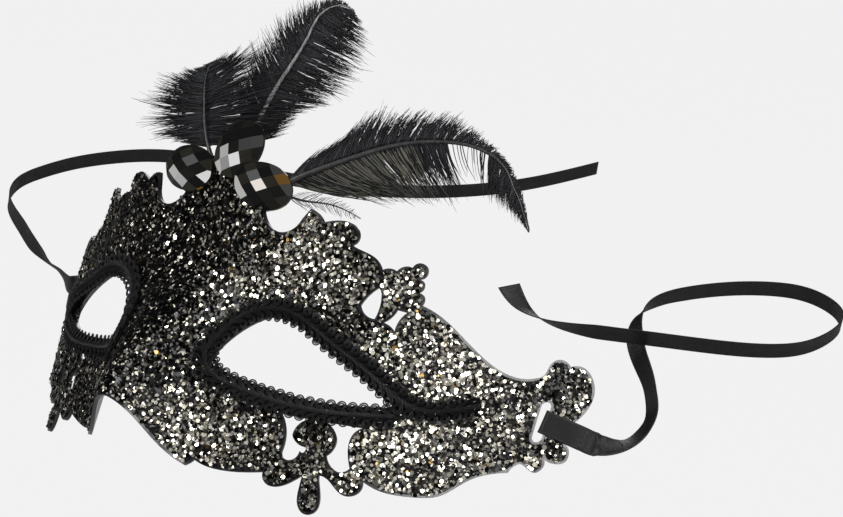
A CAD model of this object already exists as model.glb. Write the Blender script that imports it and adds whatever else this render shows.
import math

import bpy
import numpy as np
from mathutils import Matrix, Vector


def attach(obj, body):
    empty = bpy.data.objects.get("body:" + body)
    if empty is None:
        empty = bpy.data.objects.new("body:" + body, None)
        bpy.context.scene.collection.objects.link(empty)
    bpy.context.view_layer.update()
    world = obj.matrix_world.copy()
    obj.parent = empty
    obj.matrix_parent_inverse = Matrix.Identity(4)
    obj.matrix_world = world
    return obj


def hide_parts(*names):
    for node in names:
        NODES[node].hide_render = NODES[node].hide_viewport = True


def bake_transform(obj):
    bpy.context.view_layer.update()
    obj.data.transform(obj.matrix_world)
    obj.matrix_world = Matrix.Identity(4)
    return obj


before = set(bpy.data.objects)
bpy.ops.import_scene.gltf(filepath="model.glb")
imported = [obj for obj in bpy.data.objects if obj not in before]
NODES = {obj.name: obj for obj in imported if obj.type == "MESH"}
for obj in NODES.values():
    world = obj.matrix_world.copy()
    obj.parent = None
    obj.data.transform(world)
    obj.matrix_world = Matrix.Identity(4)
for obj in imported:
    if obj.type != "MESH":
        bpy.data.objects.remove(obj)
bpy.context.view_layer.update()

# Venetian masquerade mask: glitter flakes, corded eye trims, faceted gems, feathers and satin
# ribbons, dressed onto the CAD frame. Lengths are in millimetres until make_object() turns
# them into metres. u and v run sideways and upwards on the mask's flat pattern.

MM = 0.001
rng = np.random.default_rng(7)

# ---------------------------------------------------------------- the mask's surface

# The spine is the mask's front seen from above: it turns back towards the wearer's temples.
SPINE_STEP = 0.25
SPINE_LENGTH = 134
SPINE_TURN = 39.5             # degrees, reached near the temples
SPINE_BEND, SPINE_SHARPNESS = 54.0, 1.8
SPINE_U = np.arange(0, SPINE_LENGTH, SPINE_STEP)
_turn = np.radians(SPINE_TURN) \
    * np.tanh(((SPINE_U + SPINE_STEP / 2) / SPINE_BEND) ** SPINE_SHARPNESS)
SPINE_X = np.concatenate([[0], np.cumsum(np.cos(_turn) * SPINE_STEP)[:-1]])
SPINE_Y = np.concatenate([[0], np.cumsum(np.sin(_turn) * SPINE_STEP)[:-1]])
LEAN_BACK = 0.25              # rise of the skin's setback with height
NOSE_DEPTH, NOSE_WIDTH = 20, 15.4
NOSE_TOP, NOSE_FADE = 30, 39  # the nose grows downwards from its top over this drop


def skin(u, v):
    """Front of the shell at pattern coordinates, as an array of points."""
    u, v = np.broadcast_arrays(np.asarray(u, float), np.asarray(v, float))
    x = np.sign(u) * np.interp(np.abs(u), SPINE_U, SPINE_X)
    y = np.interp(np.abs(u), SPINE_U, SPINE_Y)
    drop = np.clip((NOSE_TOP - v) / NOSE_FADE, 0, 1)
    drop = drop * drop * (3 - 2 * drop)
    nose = NOSE_DEPTH * drop * np.exp(-((u / NOSE_WIDTH) ** 2))
    return np.stack([x, y + LEAN_BACK * v - nose, v], -1)


def unit(a):
    return a / np.linalg.norm(a, axis=-1, keepdims=True)


def skin_axes(u, v):
    """Outward, sideways and upward unit vectors on the skin."""
    step = 0.05
    side = unit(skin(np.add(u, step), v) - skin(np.subtract(u, step), v))
    up = unit(skin(u, np.add(v, step)) - skin(u, np.subtract(v, step)))
    return unit(np.cross(side, up)), side, up


def place(u, v, height):
    """Points standing off the skin, in millimetres."""
    return skin(u, v) + skin_axes(u, v)[0] * np.asarray(height)[..., None]


# ---------------------------------------------------------------- curves and meshes


def spline(points, count):
    """Natural cubic spline through points, sampled evenly by length: its
    points, its tangents and its length."""
    p = np.asarray(points, float)
    t = np.concatenate([[0], np.cumsum(np.linalg.norm(np.diff(p, axis=0), axis=1))])
    h = np.diff(t)
    n = len(p)
    a = np.zeros((n, n))
    b = np.zeros((n, p.shape[1]))
    a[0, 0] = a[-1, -1] = 1
    for i in range(1, n - 1):
        a[i, i - 1:i + 2] = h[i - 1], 2 * (h[i - 1] + h[i]), h[i]
        b[i] = 6 * ((p[i + 1] - p[i]) / h[i] - (p[i] - p[i - 1]) / h[i - 1])
    m = np.linalg.solve(a, b)

    def value(s):
        i = np.clip(np.searchsorted(t, s, side="right") - 1, 0, n - 2)
        x0, x1, w = (t[i + 1] - s)[:, None], (s - t[i])[:, None], h[i][:, None]
        return (m[i] * x0 ** 3 + m[i + 1] * x1 ** 3) / (6 * w) \
            + (p[i] / w - m[i] * w / 6) * x0 + (p[i + 1] / w - m[i + 1] * w / 6) * x1

    fine = np.linspace(0, t[-1], 24 * n)
    dense = value(fine)
    length = np.concatenate([[0], np.cumsum(np.linalg.norm(np.diff(dense, axis=0), axis=1))])
    s = np.interp(np.linspace(0, length[-1], count), length, fine)
    out = value(s)
    ahead = value(np.clip(s + 1e-3, 0, t[-1]))
    behind = value(np.clip(s - 1e-3, 0, t[-1]))
    return out, unit(ahead - behind), length[-1]


def make_object(name, verts, faces, material, uvs=None, tones=None, smooth=True):
    """Mesh object from points in millimetres."""
    mesh = bpy.data.meshes.new(name)
    mesh.from_pydata((np.asarray(verts) * MM).tolist(), [], faces)
    if uvs is not None:
        layer = mesh.uv_layers.new(name="UVMap")
        loops = np.zeros(len(mesh.loops), int)
        mesh.loops.foreach_get("vertex_index", loops)
        layer.data.foreach_set("uv", np.asarray(uvs, float)[loops].ravel())
    if tones is not None:
        tone = mesh.attributes.new("tone", "FLOAT", "POINT")
        tone.data.foreach_set("value", np.asarray(tones, np.float32))
    mesh.polygons.foreach_set("use_smooth", [smooth] * len(mesh.polygons))
    mesh.materials.append(material)
    mesh.update()
    item = bpy.data.objects.new(name, mesh)
    bpy.context.collection.objects.link(item)
    return item


class Tubes:
    """Collects swept tubes into one mesh."""

    def __init__(self):
        self.verts, self.faces, self.uvs, self.tones, self.count = [], [], [], [], 0

    def add(self, path, normals, radii, sides=6, flat=1.0, tone=0.0):
        """Sweeps a round or flattened section; flat scales it along the normals."""
        path = np.asarray(path)
        n = len(path)
        tangent = unit(np.gradient(path, axis=0))
        normals = unit(normals - tangent * np.sum(normals * tangent, -1, keepdims=True))
        across = np.cross(tangent, normals)
        radii = np.broadcast_to(radii, (n,))
        angle = np.linspace(0, 2 * np.pi, sides, endpoint=False)
        ring = normals[:, None] * np.cos(angle)[None, :, None] * flat \
            + across[:, None] * np.sin(angle)[None, :, None]
        verts = path[:, None] + ring * radii[:, None, None]
        length = np.concatenate([[0], np.cumsum(np.linalg.norm(np.diff(path, axis=0), axis=1))])
        uv = np.stack([np.repeat(length, sides), np.tile(angle / (2 * np.pi), n)], -1)
        base = self.count
        for i in range(n - 1):
            for k in range(sides):
                j = (k + 1) % sides
                row = base + i * sides
                self.faces.append((row + k, row + sides + k, row + sides + j, row + j))
        self.faces.append(tuple(base + k for k in range(sides)))
        self.faces.append(tuple(base + n * sides - 1 - k for k in range(sides)))
        self.verts.append(verts.reshape(-1, 3))
        self.uvs.append(uv)
        self.tones.append(np.full(n * sides, tone))
        self.count += n * sides

    def build(self, name, material):
        return make_object(name, np.concatenate(self.verts), self.faces, material,
                           np.concatenate(self.uvs), np.concatenate(self.tones))


# ---------------------------------------------------------------- materials


class Shader:
    """Small helper for building node materials."""

    def __init__(self, name):
        self.material = bpy.data.materials.new(name)
        self.material.use_nodes = True
        self.tree = self.material.node_tree
        self.bsdf = self.tree.nodes["Principled BSDF"]

    def node(self, kind, **settings):
        item = self.tree.nodes.new(kind)
        for key, value in settings.items():
            if key in item.inputs:
                item.inputs[key].default_value = value
            else:
                setattr(item, key, value)
        return item

    def link(self, source, target):
        self.tree.links.new(source, target)

    def set(self, **values):
        for key, value in values.items():
            self.bsdf.inputs[key.replace("_", " ")].default_value = value

    def coords(self, scale):
        """Object coordinates in metres, scaled."""
        source = self.node("ShaderNodeTexCoord")
        mapping = self.node("ShaderNodeMapping")
        mapping.inputs["Scale"].default_value = (scale,) * 3 if np.isscalar(scale) else scale
        self.link(source.outputs["Object"], mapping.inputs["Vector"])
        return mapping.outputs["Vector"]

    def ramp(self, source, *stops, mode="LINEAR"):
        """Colour ramp; each stop is (position, colour)."""
        item = self.node("ShaderNodeValToRGB")
        item.color_ramp.interpolation = mode
        while len(item.color_ramp.elements) < len(stops):
            item.color_ramp.elements.new(0.5)
        for element, (position, colour) in zip(item.color_ramp.elements, stops):
            element.position = position
            element.color = grey(colour) if np.isscalar(colour) else (*colour, 1)
        self.link(source, item.inputs["Fac"])
        return item.outputs["Color"]

    def bump(self, height, strength, distance):
        item = self.node("ShaderNodeBump", Strength=strength, Distance=distance)
        self.link(height, item.inputs["Height"])
        self.link(item.outputs["Normal"], self.bsdf.inputs["Normal"])

    def math(self, operation, a, b=0.0):
        item = self.node("ShaderNodeMath", operation=operation)
        for socket, value in zip(item.inputs, (a, b)):
            if isinstance(value, (int, float)):
                socket.default_value = value
            else:
                self.link(value, socket)
        return item.outputs["Value"]


def grey(value):
    return (value, value, value, 1)


def plastic_material():
    """Vacuum-formed black plastic with a faint ripple and uneven gloss."""
    s = Shader("black_plastic")
    s.set(Base_Color=(0.012, 0.012, 0.014, 1), Coat_Weight=0.6, Coat_Roughness=0.1)
    noise = s.node("ShaderNodeTexNoise", Scale=1.0, Detail=3.0)
    s.link(s.coords(260), noise.inputs["Vector"])
    s.link(s.ramp(noise.outputs["Fac"], (0.35, 0.16), (0.7, 0.36)), s.bsdf.inputs["Roughness"])
    s.bump(noise.outputs["Fac"], 0.25, 0.0006)
    return s.material


def coat_material():
    """Fine glitter in black lacquer: each voronoi cell is a tiny tilted flake."""
    s = Shader("glitter_coat")
    cells = s.node("ShaderNodeTexVoronoi", Scale=1.0)
    s.link(s.coords(1500), cells.inputs["Vector"])
    split = s.node("ShaderNodeSeparateColor")
    s.link(cells.outputs["Color"], split.inputs["Color"])
    tone = s.ramp(split.outputs["Red"], (0.0, (0.004, 0.004, 0.005)), (0.55, (0.015, 0.015, 0.015)),
                  (0.74, (0.12, 0.11, 0.095)), (0.9, (0.36, 0.33, 0.27)),
                  (0.97, (0.7, 0.66, 0.58)), mode="CONSTANT")
    s.link(tone, s.bsdf.inputs["Base Color"])
    s.link(s.ramp(split.outputs["Red"], (0.0, 0.25), (0.5, 0.95)), s.bsdf.inputs["Metallic"])
    s.set(Roughness=0.4, Coat_Weight=0.06, Coat_Roughness=0.2, Specular_IOR_Level=0.2)
    tilt = s.node("ShaderNodeVectorMath", operation="SUBTRACT")
    s.link(cells.outputs["Color"], tilt.inputs[0])
    tilt.inputs[1].default_value = (0.5, 0.5, 0.5)
    scaled = s.node("ShaderNodeVectorMath", operation="SCALE")
    scaled.inputs["Scale"].default_value = 0.9
    s.link(tilt.outputs[0], scaled.inputs[0])
    geometry = s.node("ShaderNodeNewGeometry")
    total = s.node("ShaderNodeVectorMath", operation="ADD")
    s.link(scaled.outputs[0], total.inputs[0])
    s.link(geometry.outputs["Normal"], total.inputs[1])
    normal = s.node("ShaderNodeVectorMath", operation="NORMALIZE")
    s.link(total.outputs[0], normal.inputs[0])
    s.link(normal.outputs[0], s.bsdf.inputs["Normal"])
    return s.material


def flake_material():
    """Metallised film flakes; the tone attribute picks silver, champagne, amber or black."""
    s = Shader("glitter_flakes")
    tone = s.node("ShaderNodeAttribute", attribute_name="tone")
    colour = s.ramp(tone.outputs["Fac"], (0.0, (0.006, 0.006, 0.006)),
                    (0.42, (0.045, 0.042, 0.033)), (0.60, (0.22, 0.205, 0.16)),
                    (0.72, (0.62, 0.59, 0.49)), (0.84, (1.0, 0.97, 0.88)),
                    (0.99, (0.34, 0.21, 0.06)), mode="CONSTANT")
    s.link(colour, s.bsdf.inputs["Base Color"])
    s.set(Metallic=1.0, Roughness=0.22, Coat_Weight=0.3, Coat_Roughness=0.06)
    return s.material


def cord_material():
    """Tightly twisted black gimp cord with a faint sheen on the twist."""
    s = Shader("black_cord")
    s.set(Roughness=0.3)
    tone = s.node("ShaderNodeAttribute", attribute_name="tone")
    s.link(s.ramp(tone.outputs["Fac"], (0.5, 0.5), (0.9, 0.05)),
           s.bsdf.inputs["Specular IOR Level"])
    uv = s.node("ShaderNodeUVMap", uv_map="UVMap")
    split = s.node("ShaderNodeSeparateXYZ")
    s.link(uv.outputs["UV"], split.inputs["Vector"])
    twist = s.math("ADD", s.math("MULTIPLY", split.outputs["X"], 2.6), split.outputs["Y"])
    wave = s.math("SINE", s.math("MULTIPLY", twist, 2 * math.pi * 2))
    s.bump(wave, 0.8, 0.00012)
    s.link(s.ramp(s.math("MULTIPLY_ADD", wave, 0.5), (0.0, (0.002, 0.002, 0.002)),
                  (1.0, (0.016, 0.016, 0.018))), s.bsdf.inputs["Base Color"])
    return s.material


def satin_material():
    """Black satin ribbon: warp floats along its length and a tight selvedge at each edge."""
    s = Shader("black_satin")
    s.set(Specular_IOR_Level=0.28, Anisotropic=0.6)
    uv = s.node("ShaderNodeUVMap", uv_map="UVMap")
    split = s.node("ShaderNodeSeparateXYZ")
    s.link(uv.outputs["UV"], split.inputs["Vector"])
    warp = s.math("SINE", s.math("MULTIPLY", split.outputs["Y"], 2 * math.pi / 0.16))
    weft = s.math("SINE", s.math("MULTIPLY", split.outputs["X"], 2 * math.pi / 0.5))
    edge = s.math("SUBTRACT", s.math("ABSOLUTE", split.outputs["Y"]), 2.45)
    edge = s.math("GREATER_THAN", edge, 0.0)
    weave = s.math("ADD", s.math("MULTIPLY", warp, 0.5), s.math("MULTIPLY", weft, 0.35))
    s.bump(s.math("ADD", weave, s.math("MULTIPLY", edge, s.math("MULTIPLY", weft, 2.0))),
           0.35, 0.00005)
    s.link(s.ramp(edge, (0.0, (0.004, 0.004, 0.005)), (1.0, (0.008, 0.008, 0.009))),
           s.bsdf.inputs["Base Color"])
    noise = s.node("ShaderNodeTexNoise", Scale=0.25, Detail=2.0)
    s.link(uv.outputs["UV"], noise.inputs["Vector"])
    s.link(s.ramp(noise.outputs["Fac"], (0.3, 0.28), (0.7, 0.42)), s.bsdf.inputs["Roughness"])
    return s.material


# The camera's view: its right, its up, and from the mask back towards the camera.
VIEW_RIGHT = np.array((0.68934, 0.71367, 0.12441))
VIEW_UP = np.array((-0.17164, -0.00594, 0.98514))
VIEW_BACK = np.array((0.70381, -0.70046, 0.11840))


def gem_material(name, glint):
    """Smoky mirror-backed acrylic. Each flat facet shows the part of a dark studio that lies in
    its mirror direction: a lamp in the glint direction, pale walls low at the left."""
    s = Shader(name)
    s.set(Base_Color=(0.004, 0.004, 0.004, 1), Roughness=0.04, Specular_IOR_Level=0.08)
    mirror = s.node("ShaderNodeTexCoord").outputs["Reflection"]

    def towards(direction):
        item = s.node("ShaderNodeVectorMath", operation="DOT_PRODUCT")
        s.link(mirror, item.inputs[0])
        item.inputs[1].default_value = tuple(direction)
        return item.outputs["Value"]

    def mapped(value, low):
        item = s.node("ShaderNodeMapRange")
        s.link(value, item.inputs["Value"])
        item.inputs["From Min"].default_value = low
        item.inputs["From Max"].default_value = low + 0.02
        return item.outputs["Result"]

    blocks = s.node("ShaderNodeTexVoronoi", Scale=3.4)
    s.link(mirror, blocks.inputs["Vector"])
    split = s.node("ShaderNodeSeparateColor")
    s.link(blocks.outputs["Color"], split.inputs["Color"])
    room = s.ramp(split.outputs["Green"], (0.0, (0.002, 0.002, 0.002)),
                  (0.4, (0.006, 0.006, 0.005)), (0.65, (0.016, 0.015, 0.011)),
                  (0.86, (0.05, 0.046, 0.034)), (0.96, (0.12, 0.06, 0.012)), mode="CONSTANT")
    lamp = s.math("MULTIPLY", mapped(towards(glint), 0.985), 0.95)
    walls = s.math("MULTIPLY", mapped(towards(unit(WALL_SIDE)), 0.90), 0.36)
    light = s.math("ADD", lamp, walls)
    total = s.node("ShaderNodeMixRGB", blend_type="ADD")
    total.inputs["Fac"].default_value = 1.0
    s.link(room, total.inputs["Color1"])
    s.link(light, total.inputs["Color2"])
    s.link(total.outputs["Color"], s.bsdf.inputs["Emission Color"])
    s.set(Emission_Strength=1.0)
    return s.material


WALL_SIDE = -VIEW_RIGHT * 0.95 - VIEW_BACK * 0.25 - VIEW_UP * 0.15
# The facet of each gem that mirrors the lamp: how far right and up of the gem's middle it is.
GLINTS = {"gem_centre": (-0.9, -4.3), "gem_left": (0.9, -0.9), "gem_right": (3.5, -2.8)}


def add_gem_looks():
    """Gives each gem the material whose lamp is mirrored by the wanted facet."""
    for name, (right, up) in GLINTS.items():
        mesh = NODES[name].data
        spots = np.array([tuple(p.center) for p in mesh.polygons])
        normals = np.array([tuple(p.normal) for p in mesh.polygons])
        areas = np.array([p.area for p in mesh.polygons])
        middle = np.average(spots, axis=0, weights=areas)
        target = middle + (VIEW_RIGHT * right + VIEW_UP * up) * MM
        away = spots - target
        away -= np.outer(away @ VIEW_BACK, VIEW_BACK)
        facing = normals @ VIEW_BACK > 0.2
        score = np.linalg.norm(away, axis=1) + np.where(facing, 0, 1)
        n = normals[int(np.argmin(score))]
        glint = 2 * (n @ VIEW_BACK) * n - VIEW_BACK
        mesh.materials.clear()
        mesh.materials.append(gem_material("smoky_" + name, glint))


def foil_material():
    s = Shader("gem_foil")
    s.set(Base_Color=(0.72, 0.69, 0.64, 1), Metallic=1.0, Roughness=0.12)
    noise = s.node("ShaderNodeTexNoise", Scale=1.0, Detail=2.0)
    s.link(s.coords(900), noise.inputs["Vector"])
    s.bump(noise.outputs["Fac"], 0.2, 0.0001)
    return s.material


def glue_material():
    """Clear hot glue, slightly cloudy."""
    s = Shader("clear_glue")
    s.set(Base_Color=(0.55, 0.55, 0.5, 1), Roughness=0.22, Transmission_Weight=0.55, IOR=1.48)
    noise = s.node("ShaderNodeTexNoise", Scale=1.0, Detail=2.0)
    s.link(s.coords(500), noise.inputs["Vector"])
    s.bump(noise.outputs["Fac"], 0.3, 0.0005)
    return s.material


def barb_material():
    """Dyed black feather barbs: dark and slightly glossy, greyer where they catch light."""
    s = Shader("black_barbs")
    s.set(Roughness=0.36, Specular_IOR_Level=0.3, Anisotropic=0.5)
    tone = s.node("ShaderNodeAttribute", attribute_name="tone")
    colour = s.ramp(tone.outputs["Fac"], (0.0, (0.0015, 0.0015, 0.002)),
                    (0.5, (0.006, 0.006, 0.008)), (0.92, (0.036, 0.038, 0.046)),
                    (1.0, (0.13, 0.125, 0.10)))
    s.link(colour, s.bsdf.inputs["Base Color"])
    uv = s.node("ShaderNodeUVMap", uv_map="UVMap")
    split = s.node("ShaderNodeSeparateXYZ")
    s.link(uv.outputs["UV"], split.inputs["Vector"])
    s.bump(s.math("SINE", s.math("MULTIPLY", split.outputs["X"], 2 * math.pi / 0.35)),
           0.4, 0.00004)
    return s.material


def quill_material(name, pale):
    """Dyed quill with fine lengthwise streaks."""
    s = Shader(name)
    noise = s.node("ShaderNodeTexNoise", Scale=1.0, Detail=4.0)
    s.link(s.coords((1800, 1800, 90)), noise.inputs["Vector"])
    s.link(s.ramp(noise.outputs["Fac"], (0.3, grey(0.12 * pale)[:3]), (0.75, grey(pale)[:3])),
           s.bsdf.inputs["Base Color"])
    s.set(Roughness=0.32)
    s.bump(noise.outputs["Fac"], 0.3, 0.0001)
    return s.material


def thread_material():
    s = Shader("black_thread")
    s.set(Base_Color=(0.012, 0.012, 0.012, 1), Roughness=0.6, Sheen_Weight=0.3)
    wave = s.node("ShaderNodeTexWave", Scale=1.0)
    s.link(s.coords(2500), wave.inputs["Vector"])
    s.bump(wave.outputs["Fac"], 0.5, 0.0001)
    return s.material


PLASTIC, COAT, FLAKES, CORD = plastic_material(), coat_material(), flake_material(), cord_material()
SATIN, FOIL, GLUE = satin_material(), foil_material(), glue_material()
BARBS, THREAD = barb_material(), thread_material()
QUILL, PALE_QUILL = quill_material("quill", 0.04), quill_material("pale_quill", 0.30)


def dress(prefix, material):
    """Gives every CAD node whose name starts with the prefix one material."""
    for name, item in NODES.items():
        if name.startswith(prefix):
            item.data.materials.clear()
            item.data.materials.append(material)


for prefix, material in (("mask_shell", PLASTIC), ("glitter_coat", COAT),
                         ("gem_foil", FOIL), ("gem_glue", GLUE), ("feather_glue", GLUE),
                         ("ribbon_stitches", THREAD)):
    dress(prefix, material)
for feather_name in ("upright", "plume", "side", "wisp"):
    dress("feather_%s_quill" % feather_name, PALE_QUILL if feather_name == "plume" else QUILL)
add_gem_looks()

# ---------------------------------------------------------------- glitter flakes

FLAKE_GROUPS = ((9500, 0.52, 0.07, 14.0), (9000, 0.30, 0.07, 22.0))   # count, radius, spread, tilt
FLAKE_THICK = 0.06
FLAKE_SIDES = 6
STEEPEST_FLAKE = 55.0         # degrees off the coat


def coat_front():
    """Triangles on the front of the glitter coat: corners, unit normals and areas, in mm."""
    mesh = NODES["glitter_coat"].data
    mesh.calc_loop_triangles()
    corners = np.zeros(len(mesh.vertices) * 3)
    mesh.vertices.foreach_get("co", corners)
    index = np.zeros(len(mesh.loop_triangles) * 3, int)
    mesh.loop_triangles.foreach_get("vertices", index)
    tri = corners.reshape(-1, 3)[index.reshape(-1, 3)] / MM
    cross = np.cross(tri[:, 1] - tri[:, 0], tri[:, 2] - tri[:, 0])
    area = np.linalg.norm(cross, axis=1) / 2
    keep = area > 1e-9
    tri, cross, area = tri[keep], cross[keep], area[keep]
    normal = unit(cross)
    middle = tri.mean(1)
    u = np.sign(middle[:, 0]) * np.interp(np.abs(middle[:, 0]), SPINE_X, SPINE_U)
    front = np.sum(normal * skin_axes(u, middle[:, 2])[0], -1) > 0.7
    return tri[front], normal[front], area[front]


PLAIN_GAIN = -0.4             # brightness of the glitter away from the patches below
# Where the glitter is bright (gain over 0) or dark: (u, v, radius, gain).
GLITTER = (
    (19.0, -16.0, 10.0, 1.1), (30.0, -18.0, 9.0, 0.9), (24.0, 26.0, 10.0, 1.0),
    (78.0, 10.0, 13.0, 1.3), (70.0, -12.0, 15.0, 1.4), (33.0, 34.0, 8.0, 1.1),
    (47.0, 30.0, 8.0, 0.8), (61.0, 28.0, 6.0, 1.2), (60.0, 12.0, 8.0, 0.8),
    (1.0, 7.0, 14.0, -1.2), (-14.0, 26.0, 15.0, -0.9), (6.0, 45.0, 12.0, -0.5),
    (106.0, 10.0, 6.0, -0.6), (-60.0, 0.0, 30.0, -0.6),
)


def glitter_fade(points):
    """Exponent for the flakes' tones: over 1 makes them darker."""
    u = np.sign(points[:, 0]) * np.interp(np.abs(points[:, 0]), SPINE_X, SPINE_U)
    gain = np.full(len(points), PLAIN_GAIN)
    for at_u, at_v, radius, amount in GLITTER:
        away = (u - at_u) ** 2 + (points[:, 2] - at_v) ** 2
        gain += amount * np.exp(-away / radius ** 2)
    return np.exp(-gain)


def flake_faces(first):
    """Underside, top and rim of the flake whose corners start at one index."""
    under = [first + k for k in range(FLAKE_SIDES)]
    top = [corner + FLAKE_SIDES for corner in under]
    faces = [tuple(reversed(under)), tuple(top)]
    for k in range(FLAKE_SIDES):
        j = (k + 1) % FLAKE_SIDES
        faces.append((under[k], under[j], top[j], top[k]))
    return faces


def add_flakes():
    """Loose hexagonal flakes scattered over the front of the glitter coat."""
    tri, normal, area = coat_front()
    verts, faces, tones = [], [], []
    corner_angle = np.radians(360 / FLAKE_SIDES) * np.arange(FLAKE_SIDES)
    corners = 2 * FLAKE_SIDES
    base = 0
    for count, radius, spread, tilt in FLAKE_GROUPS:
        pick = rng.choice(len(tri), count, p=area / area.sum())
        a, b = rng.random(count), rng.random(count)
        flip = a + b > 1
        a[flip], b[flip] = 1 - a[flip], 1 - b[flip]
        t = tri[pick]
        centre = t[:, 0] + (t[:, 1] - t[:, 0]) * a[:, None] + (t[:, 2] - t[:, 0]) * b[:, None]
        size = np.clip(rng.normal(radius, spread, count), radius * 0.5, radius * 1.4)
        lean = np.radians(np.abs(rng.normal(0, tilt, count)))
        lean = np.minimum(lean, np.radians(STEEPEST_FLAKE))
        n = normal[pick]
        helper = unit(np.cross(n, rng.normal(size=(count, 3))))
        other = np.cross(n, helper)
        up = n * np.cos(lean)[:, None] + helper * np.sin(lean)[:, None]
        right = helper * np.cos(lean)[:, None] - n * np.sin(lean)[:, None]
        spin = rng.random(count) * 2 * np.pi
        tone = rng.random(count) ** glitter_fade(centre)
        lift = 0.04 + 0.10 * rng.random(count) + 0.35 * size * np.sin(lean)
        ring = (corner_angle[None] + spin[:, None])[..., None]
        rim = (right[:, None] * np.cos(ring) + other[:, None] * np.sin(ring)) * size[:, None, None]
        middle = (centre + n * lift[:, None])[:, None]
        thick = up[:, None] * (FLAKE_THICK / 2)
        block = np.concatenate([middle + rim - thick, middle + rim + thick], 1)
        verts.append(block.reshape(-1, 3))
        tones.append(np.repeat(tone, corners))
        for i in range(count):
            faces += flake_faces(base + corners * i)
        base += corners * count
    flakes = make_object("glitter_flakes", np.concatenate(verts), faces, FLAKES,
                         tones=np.concatenate(tones), smooth=False)
    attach(flakes, "mask")


add_flakes()

# ---------------------------------------------------------------- eye trims

# Centre line of the left eye's braid: from its tucked end below the outer corner, along the
# lower lid, round the inner corner, back over the eye and on towards the temple.
BRAID = [
    (68.5, -3.4), (64.0, -3.9), (55.0, -4.8), (44.0, -5.0), (33.5, -4.2), (24.5, -2.9),
    (18.6, -0.7), (16.0, 3.6), (17.2, 8.4), (20.4, 13.0), (25.0, 16.2), (31.0, 17.5),
    (38.6, 16.2), (46.0, 12.6), (52.8, 9.4), (58.6, 6.5), (64.2, 3.2), (70.0, 0.2),
    (76.6, -0.8), (83.0, 0.6), (88.0, 2.2),
]
CURL_PITCH = 2.8
CURL_CENTRE = 2.0             # middle of each curl's eye, across the braid
CURL_RADIUS = 1.15
STRAND_GAP = 0.5              # each curl is a doubled cord
CORD_RADIUS = 0.2
TRIM_LOW = 0.75               # height of the cords' lowest layer over the skin
OVERLAP_RISE = 1.0            # the upper braid's lift where it crosses the tucked end


def braid_frame(sign, distance, centre, tangent, length):
    """Interpolated centre line and its left-hand direction on the pattern."""
    share = np.clip(distance / length, 0, 1) * (len(centre) - 1)
    index = np.arange(len(centre))
    at = np.stack([np.interp(share, index, centre[:, k]) for k in (0, 1)], -1)
    t = unit(np.stack([np.interp(share, index, tangent[:, k]) for k in (0, 1)], -1))
    return at, t, np.stack([-t[:, 1], t[:, 0]], -1)


def curl(inner, size):
    """One strand of a fiddlehead curl: it leaves the stem, sweeps outwards and rolls back.
    Places along and across the braid, and heights."""
    turn = np.radians(np.linspace(-80, 250, 20))
    radius = (CURL_RADIUS * size - inner) * np.linspace(1.0, 0.8, len(turn))
    eye_along = 0.5 + radius * np.cos(turn)
    eye_across = CURL_CENTRE + radius * np.sin(turn)
    along = np.concatenate([[-2.3, -1.5, -0.7], eye_along])
    across = np.concatenate([[0.05, 0.25, 0.6 + 0.5 * inner], eye_across])
    height = TRIM_LOW + 0.85 + 0.25 * np.sin(np.linspace(0, 5.2, len(along)))
    return along, across, height


def add_trim(name, sign):
    """Gimp braid round one eye: curls on both sides of a twisted stem, over a woven base."""
    centre, tangent, length = spline(BRAID, 400)
    tubes = Tubes()
    overlap = length * 0.80

    def cord(along, across, height, radius, tone=0.0):
        """One cord given by its place along and across the braid."""
        at, t, left = braid_frame(sign, along, centre, tangent, length)
        spot = at + left * across[:, None]
        rise = OVERLAP_RISE * np.exp(-((along - overlap) / 9.0) ** 2)
        u, v = spot[:, 0] * sign, spot[:, 1]
        path = place(u, v, height + rise)
        tubes.add(path, skin_axes(u, v)[0], radius, sides=6, tone=tone)

    for i in range(int(length / CURL_PITCH)):
        for hand in (1, -1):
            start = CURL_PITCH * (i + (0.75 if hand < 0 else 0.25))
            size = 1 + 0.05 * rng.normal()
            for inner in (0.0, STRAND_GAP):
                along, across, height = curl(inner, size)
                cord(np.clip(start + along, 0, length), hand * across, height, CORD_RADIUS,
                     tone=inner)
    t = np.linspace(0, length, int(length / 0.5))
    for phase in (0, 2 * np.pi / 3, 4 * np.pi / 3):
        twist = 2 * np.pi * t / 3.2 + phase
        cord(t, 0.36 * np.cos(twist), TRIM_LOW + 1.25 + 0.3 * np.sin(twist), 0.27, tone=0.2)
    for offset in (-1.9, -1.0, 0.0, 1.0, 1.9):
        wave = offset + 0.2 * np.sin(t * 2.24 + offset * 3)
        cord(t, wave, np.full_like(t, TRIM_LOW), 0.5, tone=1.0)
    trim = tubes.build("braid_" + name, CORD)
    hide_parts("eye_trim_" + name)
    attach(trim, "mask")


add_trim("left", 1)
add_trim("right", -1)

# ---------------------------------------------------------------- satin ribbons

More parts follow.
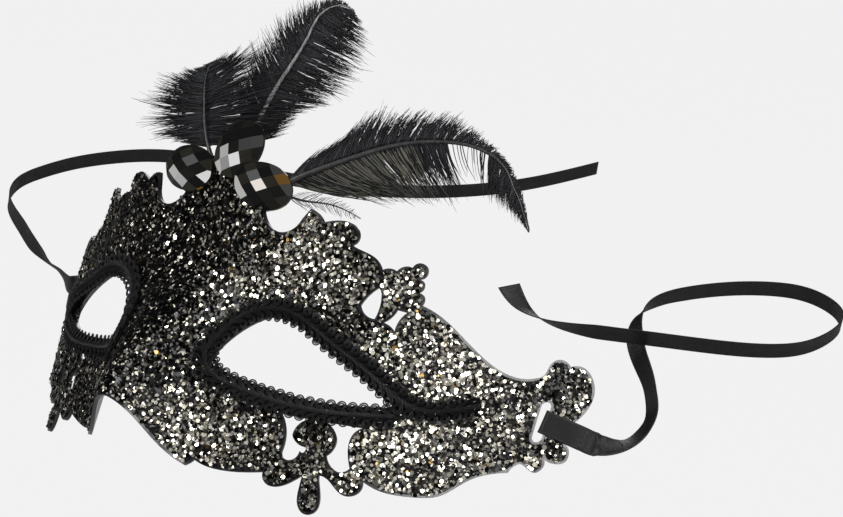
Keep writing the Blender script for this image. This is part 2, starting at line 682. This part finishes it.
# Stations (along, up, behind, twist in degrees) in the leaning plane of the ribbons' coils,
# as in the CAD tails.
TAILS = {
    "left": [
        (4.8, -1.2, 0.3, -84), (8, -0.9, 0.6, -107), (11.6, 0.6, 1.2, -129),
        (14.9, 4.8, 2.2, -141), (16.5, 9.4, 3.2, -153), (16.2, 14.3, 3.9, -160),
        (15, 19.7, 4.2, -160), (12.6, 25.8, 4.3, -152), (10.8, 32.3, 4, -142),
        (11.2, 39.2, 3, -155), (14.5, 44.3, 0.8, -175), (21.5, 48.6, -1.1, -180),
        (30.5, 51.7, -2.1, -180), (44.5, 54.1, -2.1, -180), (56.5, 52.7, -3.1, -180),
        (62.3, 47.2, -4.1, -180), (57.5, 39.9, -4.1, -180), (45.5, 35.2, -5.1, -180),
        (30.5, 34.1, -5.1, -180), (13.5, 34.1, -5.1, -180), (0.5, 34.1, -5.1, -180),
        (-8.5, 34.7, -5.1, -200), (-14.5, 36.3, -5.1, -217), (-19.5, 40.1, -5.1, -245),
        (-22.5, 45.1, -5.1, -265),
    ],
    "right": [
        (-2, -0.7, 5, 17), (-5.5, 1.5, 9, -10), (-8.5, 4.1, 11, -30), (-12, 7.3, 12, -5),
        (-16, 11.2, 12, 14), (-20, 16.7, 12, 14), (-23.3, 21.2, 12, 10), (-25.4, 26, 12, 5),
        (-24.3, 31.4, 12, 0), (-18, 37.2, 12, 0), (-10, 41.7, 12, 0), (2, 46.2, 12, 0),
        (17, 49.2, 12, 0), (38, 48.2, 12, 0), (58, 46.2, 12, 0), (80, 46.4, 12, 0),
        (105, 50.2, 12, 0), (122, 55.2, 12, 0), (144, 65.2, 12, 0),
    ],
}
LEAN = math.radians(44)
ALONG = np.array([math.sqrt(0.5), math.sqrt(0.5), 0])
REAR = np.array([-math.sqrt(0.5), math.sqrt(0.5), 0])
UP = np.array([0, 0, math.cos(LEAN)]) + REAR * math.sin(LEAN)
NORMAL = np.cross(ALONG, UP)
SEAM_U, SEAM_V = 115.0, 0.5
SLOT_EDGE = 103.8 + 1.25      # outer edge of the slot
LOOP_HALF_GAP = 0.825         # half the depth inside the loop
LOOP_SLACK = 0.86
RIBBON_THICK = 0.35
BAR_DEPTH = 0.325             # middle of the bar behind the skin
LOOP_START = SLOT_EDGE + LOOP_HALF_GAP - LOOP_SLACK       # turn of the loop inside the slot
LOOP_RUN = SEAM_U - LOOP_START
LOOP_TURN = math.radians(7.0)                  # left loop droops, right loop lifts
LOOP_RADIUS = LOOP_HALF_GAP + RIBBON_THICK / 2
BLEND_REACH = 9.0             # this much of each tail bends with its hinge
HALF_WIDTH = 3.0              # of the ribbon
STEP = 0.5                    # spacing of the ribbon sections along the tails and the loops
LOOP_STEP = 0.3


def ribbon_section():
    """Half profile points (across, thickness) of a ribbon with slightly fuller selvedges."""
    across = np.array([-1.0, -0.94, -0.82, -0.4, 0.0, 0.4, 0.82, 0.94, 1.0]) * HALF_WIDTH
    thick = np.array([0.05, 0.17, 0.12, 0.12, 0.12, 0.12, 0.12, 0.17, 0.05])
    return across, thick


def ribbon_mesh(name, path, width, start_length):
    """Sweeps the ribbon's section along a path; width is the direction across it."""
    tangent = unit(np.gradient(path, axis=0))
    width = unit(width - tangent * np.sum(width * tangent, -1, keepdims=True))
    face = np.cross(tangent, width)
    across, thick = ribbon_section()
    offsets = np.concatenate([across, across[::-1]])
    heights = np.concatenate([thick, -thick[::-1]])
    ring = len(offsets)
    verts = path[:, None] + width[:, None] * offsets[None, :, None] \
        + face[:, None] * heights[None, :, None]
    length = start_length + np.concatenate(
        [[0], np.cumsum(np.linalg.norm(np.diff(path, axis=0), axis=1))])
    uv = np.stack([np.repeat(length, ring), np.tile(offsets, len(path))], -1)
    faces = []
    for i in range(len(path) - 1):
        for k in range(ring):
            j = (k + 1) % ring
            faces.append((i * ring + k, (i + 1) * ring + k, (i + 1) * ring + j, i * ring + j))
    faces.append(tuple(range(ring)))
    last = (len(path) - 1) * ring
    faces.append(tuple(last + k for k in reversed(range(ring))))
    return make_object(name, verts.reshape(-1, 3), faces, SATIN, uv)


def tail_path(side_name, seam, side, tab_up):
    """Centre line and width directions of the free end."""
    stations = np.array(TAILS[side_name], float)
    points = [seam + side * (LOOP_RADIUS + 0.2), seam + side * 2.6]
    points += [seam + ALONG * a + UP * b + REAR * c for a, b, c, _ in stations]
    total = np.linalg.norm(np.diff(points, axis=0), axis=1).sum()
    path, tangent, _ = spline(points, int(total / STEP))
    marks = [int(np.argmin(np.linalg.norm(path - p, axis=1))) for p in points]
    marks[0], marks[-1] = 0, len(path) - 1
    across = unit(np.cross(tangent, NORMAL))
    level = np.cross(across, tangent)
    twist = np.radians(np.interp(np.arange(len(path)), marks[2:], stations[:, 3]))
    kernel = np.hanning(13)
    twist = np.convolve(np.pad(twist, 6, mode="edge"), kernel / kernel.sum(), mode="valid")
    width = level * np.cos(twist)[:, None] + across * np.sin(twist)[:, None]
    ease = np.clip(np.arange(len(path)) / max(marks[2], 1), 0, 1)
    ease = (ease * ease * (3 - 2 * ease))[:, None]
    return path, unit(tab_up * (1 - ease) + width * ease)


def add_ribbon(side_name, sign):
    """The sewn loop through one slot, and the free end that swings at its seam."""
    out, _, slot = skin_axes(sign * SEAM_U, SEAM_V)
    square = np.cross(slot, out) * sign
    side = square * math.cos(LOOP_TURN) - slot * sign * math.sin(LOOP_TURN)
    up = slot * math.cos(LOOP_TURN) + square * sign * math.sin(LOOP_TURN)
    seam = skin(sign * LOOP_START, SEAM_V) - out * BAR_DEPTH + side * LOOP_RUN
    path, width = tail_path(side_name, seam, side, up)
    reach = int(BLEND_REACH / STEP)
    # The loop: from behind the seam round the tab's bar and back along the front.
    bar = seam - side * LOOP_RUN
    turn = np.linspace(0, np.pi, 14)[:, None]
    back = [seam - out * LOOP_RADIUS + side * s for s in (0.0, -3.0, -6.0)]
    bend = bar - out * np.cos(turn) * LOOP_RADIUS - side * np.sin(turn) * LOOP_RADIUS
    front = [seam + out * LOOP_RADIUS + side * s for s in (-8.0, -5.0, -2.2)]
    merge = [seam + out * LOOP_RADIUS * 0.72 + side * 0.1]
    loop = np.concatenate([back, bend, front, merge, path[2:6:3]])
    total = np.linalg.norm(np.diff(loop, axis=0), axis=1).sum()
    loop_line, _, _ = spline(loop, int(total / LOOP_STEP))
    lead = np.concatenate([loop_line[:-1], path[6:reach + 1]])
    lead_width = np.concatenate([np.tile(up, (len(loop_line) - 1, 1)), width[6:reach + 1]])
    knuckle = ribbon_mesh("ribbon_%s_seam" % side_name, lead, lead_width, 0.0)
    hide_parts("ribbon_loop_" + side_name)
    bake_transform(knuckle)
    tail = ribbon_mesh("ribbon_%s_tail" % side_name, path[reach - 1:], width[reach - 1:], 30.0)
    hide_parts("ribbon_tail_" + side_name)
    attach(tail, "ribbon_tail_" + side_name)


add_ribbon("left", 1)
add_ribbon("right", -1)

# ---------------------------------------------------------------- feathers

# Planes and outlines as in the CAD quills and vanes: points are (across, up) in each plane.
FEATHERS = {
    "upright": {
        "root": (-6.7, 15.4, 46.0), "turn": 15.0, "lean": 14.0, "stout": 0.8, "bare": 0.3,
        "shaft": [(0, 0), (-6.5, 6.1), (-9.0, 10.5), (-12.1, 19.3), (-13.2, 25.1),
                  (-12.5, 29.0)],
        "left": [(-16.8, 7.2), (-25.4, 9.0), (-28.6, 16.0), (-25.4, 22.8), (-19.0, 25.8)],
        "right": [(1.5, 10.0), (8.0, 14.5), (9.0, 22.5), (4.5, 30.0), (-3.0, 33.5)],
    },
    "plume": {
        "root": (-1.0, 19.4, 47.0), "turn": 22.0, "lean": 16.0, "stout": 1.0, "bare": 0.16,
        "shaft": [(0, 0), (-1.8, 6.0), (-2.2, 11.0), (-1.3, 15.4), (0.8, 22.9), (3.7, 30.5),
                  (6.7, 39.4), (8.2, 44.5), (11.4, 47.5), (17.5, 47.4)],
        "left": [(-7.0, 12.0), (-8.4, 19.0), (-8.8, 26.3), (-7.1, 34.3), (-3.7, 40.1), (1.7, 45.9),
                 (6.5, 48.6), (12.0, 50.0)],
        "right": [(5.0, 10.5), (7.5, 16.8), (15.4, 22.8), (19.7, 28.1), (21.7, 35.9), (21.2, 41.1)],
    },
    "side": {
        "root": (11.0, 14.75, 45.0), "turn": 42.0, "lean": 8.0, "stout": 1.0, "bare": 0.08,
        "shaft": [(0, 0), (4.4, 2.3), (7.5, 4.3), (13.2, 7.5), (21.0, 11.4), (28.7, 14.9),
                  (36.6, 17.3), (42.7, 18.2), (48.8, 18.3), (55.2, 16.7), (59.7, 13.6),
                  (62.3, 9.4), (64.5, 5.6), (67.8, -1.8)],
        "left": [(7.5, 7.6), (13.8, 12.5), (20.0, 18.2), (24.3, 22.9), (31.6, 24.3),
                 (40.9, 25.3), (48.1, 24.0), (53.5, 20.6), (58.9, 16.6), (63.6, 10.6)],
        "right": [(9.9, 1.5), (18.8, 1.1), (34.0, 3.1), (44.1, 4.7), (51.7, 5.7),
                  (59.5, 4.6)],
    },
    "wisp": {
        "root": (12.0, 15.66, 45.6), "turn": 30.0, "lean": 8.0, "stout": 0.45, "bare": 0.2,
        "shaft": [(0, 0), (4.0, -1.0), (8.5, -1.7), (15.5, -1.6), (21.3, -2.8),
                  (24.5, -4.0)],
        "left": [(8.0, 0.4), (15.0, 0.8), (21.0, -1.0)],
        "right": [(8.0, -3.4), (15.0, -3.6), (20.5, -4.6)],
    },
}
BARB_SPACING = {"upright": 0.032, "plume": 0.045, "side": 0.055, "wisp": 0.5}
BARB_STEPS = 9                # points along each barb
BARB_RADIUS = {"upright": 0.13, "plume": 0.13, "side": 0.125, "wisp": 0.06}
BARB_TIP = 0.03
BARB_DEPTH = 1.6              # furthest that a barb strays from the feather's plane
FLUFF = {"upright": 1.1, "plume": 0.9, "side": 0.8, "wisp": 1.3}   # untidiness of the barbs
# Lean of the barbs towards the tip, on the left and the right web.
SWEEP = {"upright": (0.12, 0.12), "plume": (0.20, 0.20), "side": (0.12, 0.30),
         "wisp": (0.25, 0.25)}
CLUMP = 9                     # barbs that hook together and share a direction
GAP = (0.55, 0.70)            # bare stretch of the side feather's lower web, along its shaft
GAP_BARE = 0.93               # share of the barbs missing there
PALE_REACH = 0.45             # the first barbs of that web are mixed with pale ones
PALE_SHARE = 0.4
STRAYS = 0.12                 # share of barbs that run past the edge, before the fluff
BROKEN = 0.25                 # share of the others that are short
SHAFT_POINTS = 300
SHAFT_ROOT, SHAFT_TIP = 0.9, 0.2                # thickness of the shaft


def clump_habit():
    """How the barbs hooked together in one clump lean, grow, sway and lift as one."""
    return {"lead": rng.normal() * 0.015, "grow": rng.normal() * 0.07,
            "sway": rng.normal(size=2) * 0.04, "lift": rng.normal() * 0.05}


def barb_growth(clump, loose, fluff):
    """Length of one barb as a share of its web's width there."""
    grow = 0.96 + (clump["grow"] + 0.07 * rng.normal()) * fluff
    if loose:
        grow *= 0.62 + 0.3 * rng.random()
    if rng.random() < STRAYS * fluff:
        grow += 0.06 + 0.22 * rng.random()
    elif rng.random() < BROKEN:
        grow *= 0.5 + 0.4 * rng.random()
    return min(grow, 1.3)


def barb_curve(start, edge, left, grow, sway, fluff):
    """One barb in its feather's plane: it leaves the shaft, bows towards the tip and frays."""
    reach = np.linalg.norm(edge - start)
    end = start + (edge - start) * grow
    middle = start + (end - start) * 0.42 + left * reach * 0.12
    s = np.linspace(0, 1, BARB_STEPS)[:, None]
    line = start * (1 - s) ** 2 + middle * 2 * s * (1 - s) + end * s ** 2
    sway = (sway + rng.normal(size=2) * 0.04) * fluff * reach
    ripple = np.sin(s * (3 + 5 * rng.random()) + rng.random() * 6) * s ** 1.5
    return line + sway * s ** 2 + left * ripple * 0.025 * reach * fluff, s, reach


def add_vane(name, feather):
    """The two webs of one feather, barb by barb."""
    turn, lean = math.radians(feather["turn"]), math.radians(feather["lean"])
    across = np.array([math.cos(turn), math.sin(turn), 0])
    up = np.array([0, 0, math.cos(lean)]) \
        + np.array([-math.sin(turn), math.cos(turn), 0]) * math.sin(lean)
    front = np.cross(across, up)
    root = np.array(feather["root"])
    shaft, tangent, length = spline(feather["shaft"], SHAFT_POINTS)
    last = SHAFT_POINTS - 1
    first = int(feather["bare"] * last)
    tubes = Tubes()
    fluff = FLUFF[name]
    for hand, edge_name, sweep in ((1, "left", SWEEP[name][0]), (-1, "right", SWEEP[name][1])):
        edge = [tuple(shaft[first])] + feather[edge_name] + [tuple(shaft[last])]
        edge_line, _, _ = spline(edge, SHAFT_POINTS)
        count = int(length * (1 - feather["bare"]) / BARB_SPACING[name])
        mixed_web = name == "side" and hand < 0
        for i in range(count):
            if i % CLUMP == 0:
                clump = clump_habit()
            loose = i % 2                       # every second barb is shorter and unhooked
            share = (i + rng.random()) / count
            if mixed_web and GAP[0] < share < GAP[1] and rng.random() < GAP_BARE:
                continue
            place_on_shaft = int(min(first + share * (last - first), last))
            start, lead = shaft[place_on_shaft], tangent[place_on_shaft]
            left = np.array([-lead[1], lead[0]]) * hand
            thickness = SHAFT_ROOT + (SHAFT_TIP - SHAFT_ROOT) * place_on_shaft / last
            start = start + left * thickness * feather["stout"] * 0.5
            ahead = share + sweep * (1 - share) + (clump["lead"] + 0.012 * rng.normal()) * fluff
            target = edge_line[int(np.clip(ahead, 0, 1) * last)]
            grow = barb_growth(clump, loose, fluff)
            line, s, reach = barb_curve(start, target, left, grow,
                                        clump["sway"] * (1 - loose), fluff)
            depth = (rng.normal() * 0.10 - 0.05 * reach * s ** 2
                     + (clump["lift"] + 0.03 * rng.normal()) * reach * s ** 2 * fluff)
            depth = np.clip(depth, -BARB_DEPTH, BARB_DEPTH)
            path = root + line[:, :1] * across + line[:, 1:] * up + depth * front
            radius = BARB_RADIUS[name] * (1 - s[:, 0] ** 2) + BARB_TIP
            flat_way = unit(front + 0.5 * rng.normal(size=3))
            pale = mixed_web and share < PALE_REACH and rng.random() < PALE_SHARE
            tone = 1.0 if pale else 0.92 * rng.random() ** 1.6
            tubes.add(path, np.tile(flat_way, (BARB_STEPS, 1)), radius, sides=3, flat=0.4,
                      tone=tone)
    vane = tubes.build("barbs_" + name, BARBS)
    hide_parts("feather_%s_vane" % name)
    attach(vane, "feather_side" if name == "wisp" else "feather_" + name)


for feather_name, feather in FEATHERS.items():
    add_vane(feather_name, feather)

# ---------------------------------------------------------------- floor, light and camera

FLOOR_Z = -0.075
FLOOR_SIZE = 60
PAPER = 0.90                  # brightness of the pale floor as the camera sees it
FLOOR_SHOWN = 0.97            # how much of that replaces the lit floor
CAMERA_LENS = 166.46
CAMERA_SENSOR = 36.0
CAMERA_AWAY = 1.0             # metres from the mask's origin
CAMERA_SHIFT = (0.06327, 0.02501)


def add_floor():
    bpy.ops.mesh.primitive_plane_add(size=FLOOR_SIZE, location=(0, 0, FLOOR_Z))
    floor = bpy.context.object
    floor.name = "floor"
    s = Shader("pale_floor")
    s.set(Base_Color=grey(0.35), Roughness=0.9)
    emit = s.node("ShaderNodeEmission", Color=grey(PAPER), Strength=1.0)
    mix = s.node("ShaderNodeMixShader")
    path = s.node("ShaderNodeLightPath")
    s.link(s.math("MULTIPLY", path.outputs["Is Camera Ray"], FLOOR_SHOWN), mix.inputs["Fac"])
    s.link(s.bsdf.outputs["BSDF"], mix.inputs[1])
    s.link(emit.outputs["Emission"], mix.inputs[2])
    s.link(mix.outputs["Shader"], s.tree.nodes["Material Output"].inputs["Surface"])
    floor.data.materials.append(s.material)


def add_light(name, spot, target, size, power):
    """Square soft box at a spot, facing a target; metres and watts."""
    light = bpy.data.lights.new(name, "AREA")
    light.shape = "SQUARE"
    light.size = size
    light.energy = power
    item = bpy.data.objects.new(name, light)
    item.location = spot
    way = Vector(target) - Vector(spot)
    item.rotation_mode = "QUATERNION"
    item.rotation_quaternion = way.to_track_quat("-Z", "Y")
    bpy.context.collection.objects.link(item)


def add_world():
    world = bpy.data.worlds.new("studio")
    bpy.context.scene.world = world
    world.use_nodes = True
    tree = world.node_tree
    background = tree.nodes["Background"]
    background.inputs["Color"].default_value = grey(0.5)
    background.inputs["Strength"].default_value = 0.10
    bpy.context.scene.view_settings.view_transform = "Standard"


def add_camera():
    """Three-quarter view from the wearer's left, slightly above and tilted."""
    right, up, back = Vector(VIEW_RIGHT), Vector(VIEW_UP), Vector(VIEW_BACK)
    camera = bpy.data.cameras.new("camera")
    camera.lens = CAMERA_LENS
    camera.sensor_width = CAMERA_SENSOR
    camera.clip_start, camera.clip_end = 0.05, 100
    item = bpy.data.objects.new("camera", camera)
    basis = Matrix((right, up, back)).transposed().to_4x4()
    spot = back * CAMERA_AWAY + right * CAMERA_SHIFT[0] + up * CAMERA_SHIFT[1]
    item.matrix_world = Matrix.Translation(spot) @ basis
    bpy.context.collection.objects.link(item)
    bpy.context.scene.camera = item


add_floor()
add_world()
add_light("key", (-0.35, -1.15, 0.95), (0, 0, 0.02), 0.7, 17)
add_light("front", (0.85, -0.98, 0.42), (0.03, 0, 0.01), 0.45, 4)
add_light("side", (1.5, -0.25, 0.7), (0, 0.03, 0.02), 0.9, 16)
add_light("top", (0.1, 0.4, 1.5), (0, 0.03, 0.02), 1.0, 10)
add_light("rear", (-0.9, 1.2, 0.6), (0, 0.05, 0.02), 0.8, 3)
add_camera()
